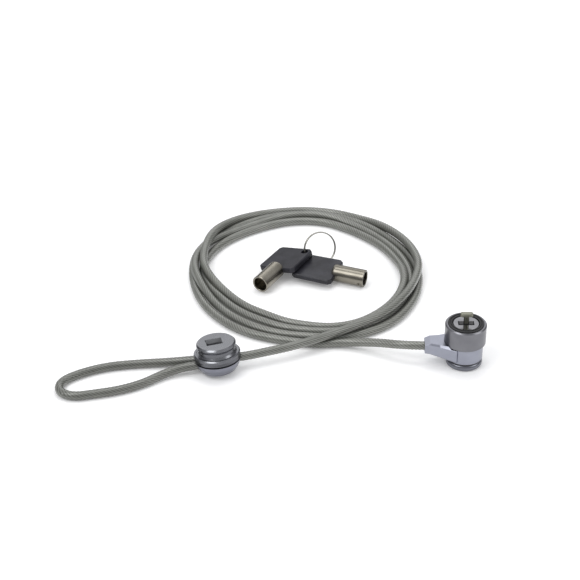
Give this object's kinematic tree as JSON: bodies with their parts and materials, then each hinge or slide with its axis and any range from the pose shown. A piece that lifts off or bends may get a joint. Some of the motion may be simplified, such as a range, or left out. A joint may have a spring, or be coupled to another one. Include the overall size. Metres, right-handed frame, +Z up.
{
  "type": "laptop cable lock",
  "caption": "Laptop cable lock with a swivelling tubular-key lock head and T-bar, a coiled steel cable with an end loop, and tubular keys on a split ring.",
  "frame": {"origin": "on the lock head's axis, at the end face of its tail ring, on the floor it stands on", "axes": "+Z up along the lock head's axis to the T-bar, +X away from the cable's arm, +Y from the anchor side to the far side of the coil"},
  "size_m": [0.2086, 0.1855, 0.0288],
  "materials": {
    "gunmetal": "satin, dark nickel plate",
    "satin_silver": "satin",
    "anchor_metal": "satin plated casting",
    "polished_steel": "polished",
    "steel": "plain",
    "brass": "plain",
    "nickel": "warm nickel plate",
    "black_plastic": "matte",
    "rubber": "matte",
    "bow_plastic": "fine satin",
    "cable": "clear sheath over twisted steel strands"
  },
  "bodies": {
    "fitting": {"swivel_yoke": "satin_silver", "lower_washer": "black_plastic", "upper_washer": "black_plastic", "cable_ferrule": "steel", "cable_head_lead": "cable", "cable_coil": "cable", "cable_anchor_lead": "cable", "cable_loop": "cable", "anchor_base": "anchor_metal", "anchor_cap": "anchor_metal", "loop_crimp": "steel", "anchor_screws": "steel"},
    "barrel": {"lock_body": "gunmetal", "tail_ring": "gunmetal", "nose_disc": "polished_steel", "slot_guide": "black_plastic", "bumper_ring": "rubber", "cylinder_shell": "brass", "pin_housing": "brass", "stop_pin": "steel", "pin_springs": "steel"},
    "plug": {"plug": "steel", "t_bar": "steel", "spindle_clip": "steel"},
    "key_pins": {"key_pins": "brass"},
    "driver_pins": {"driver_pins": "brass"},
    "key_ring": {"split_ring": "steel"},
    "key_left": {"key_barrel_left": "nickel", "key_bow_left": "bow_plastic"},
    "key_right": {"key_barrel_right": "nickel", "key_bow_right": "bow_plastic"}
  },
  "joints": [
    {"name": "barrel_swivel", "type": "hinge", "parent": "fitting", "child": "barrel", "pos_m": [0, 0, 0.008], "axis": [0, 0, 1], "continuous": true},
    {"name": "key_turn", "type": "hinge", "parent": "barrel", "child": "plug", "pos_m": [0, 0, 0.008], "axis": [0, 0, 1], "range_deg": [0, 90]},
    {"name": "pin_press", "type": "slide", "parent": "plug", "child": "key_pins", "axis": [0, 0, 1], "range_m": [-0.0012, 0], "stiffness_N_per_m": 60, "springref_m": -0.0012},
    {"name": "driver_press", "type": "slide", "parent": "barrel", "child": "driver_pins", "axis": [0, 0, 1], "range_m": [-0.0012, 0], "deforming": ["pin_springs"]},
    {"name": "ring_lift", "type": "slide", "parent": "fitting", "child": "key_ring", "axis": [0, 0, 1], "range_m": [0, 0.1]},
    {"name": "key_left_swing", "type": "hinge", "parent": "key_ring", "child": "key_left", "pos_m": [-0.07742, 0.08987, 0.0085], "axis": [-0.2134, 0.0795, 0.9737], "range_deg": [-30, 10]},
    {"name": "key_right_swing", "type": "hinge", "parent": "key_ring", "child": "key_right", "pos_m": [-0.07561, 0.0901, 0.00496], "axis": [-0.0068, -0.0297, 0.9995], "range_deg": [-5, 20]}
  ],
  "couplings": [
    {"joint": "driver_press", "follows": "pin_press", "ratio": 1}
  ]
}
